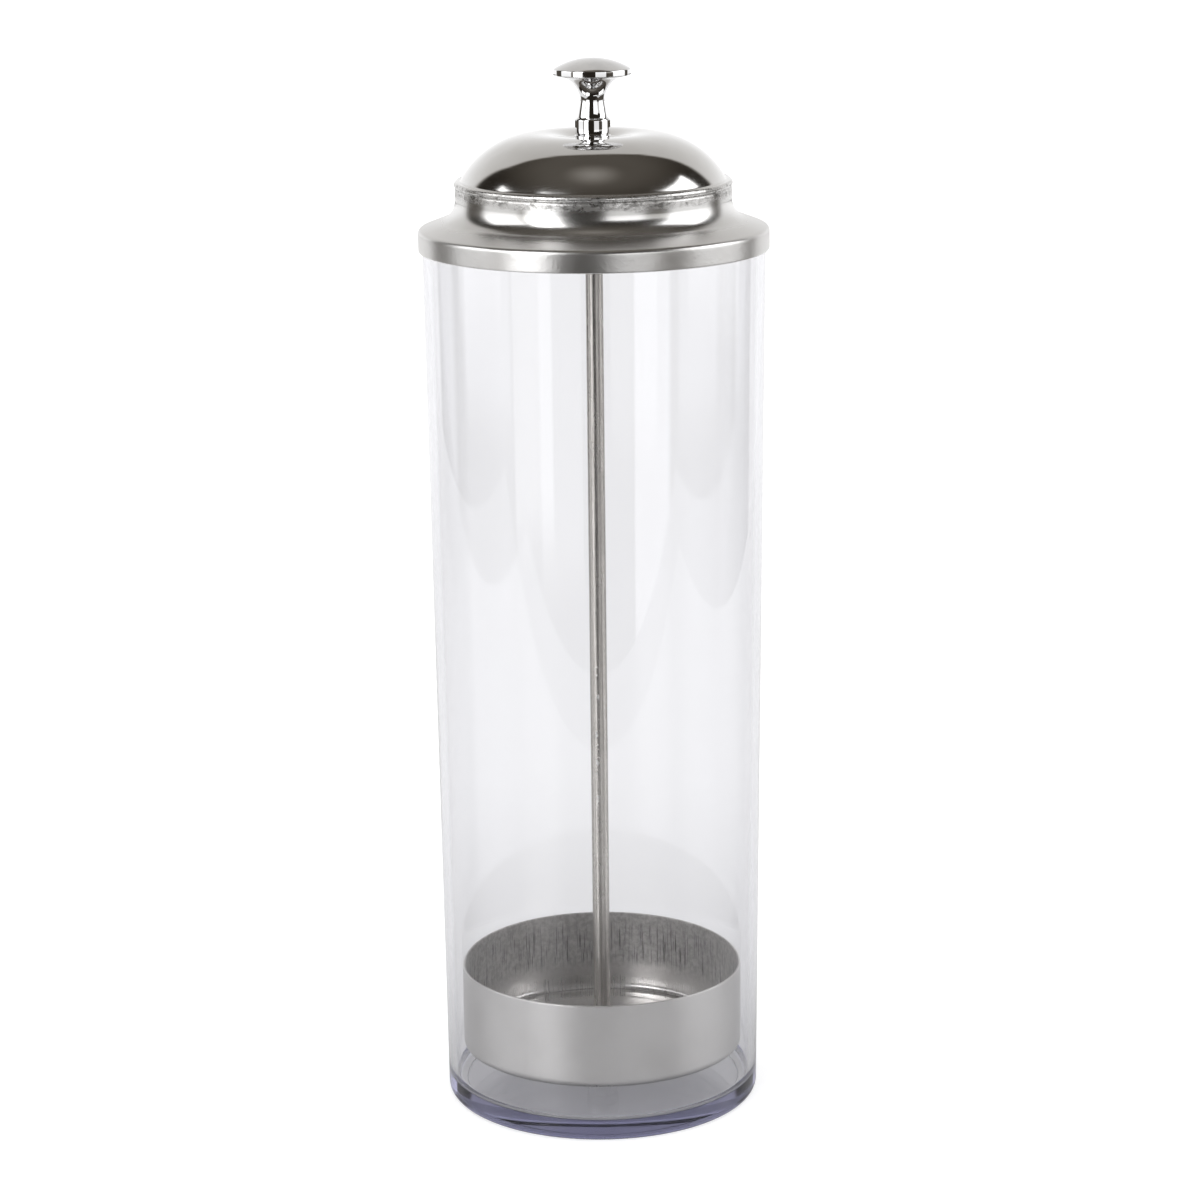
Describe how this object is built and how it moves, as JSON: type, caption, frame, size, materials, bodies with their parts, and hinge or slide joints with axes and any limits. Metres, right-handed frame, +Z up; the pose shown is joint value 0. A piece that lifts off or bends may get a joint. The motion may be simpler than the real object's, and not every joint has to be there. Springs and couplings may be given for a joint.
{
  "type": "straw dispenser",
  "caption": "Tall clear round jar with a domed metal lid and knob; lifting the knob raises a rod and cup that carry the straws up out of the jar.",
  "frame": {"origin": "centre of the jar's foot, on the table", "axes": "+Z up the axis of the jar, rod and knob; the jar is round, so +X and +Y are any two level directions"},
  "size_m": [0.1, 0.1, 0.3074],
  "materials": {
    "clear_plastic": "clear moulded plastic, gloss",
    "pressed_steel": "bright polished stainless steel",
    "chrome_plate": "mirror chrome",
    "rod_steel": "drawn bright bar",
    "cup_steel": "satin drawn stainless steel",
    "fastener_steel": "plain stainless steel"
  },
  "bodies": {
    "jar": {"jar": "clear_plastic"},
    "carrier": {"lid": "pressed_steel", "knob": "chrome_plate", "knob_seat_ring": "chrome_plate", "lift_rod": "rod_steel", "straw_cup": "cup_steel", "rod_nuts": "fastener_steel", "rod_washers": "fastener_steel", "rod_lock_washers": "fastener_steel"}
  },
  "joints": [
    {"name": "carrier_lift", "type": "slide", "parent": "jar", "child": "carrier", "axis": [0, 0, 1], "range_m": [0, 0.26]}
  ]
}
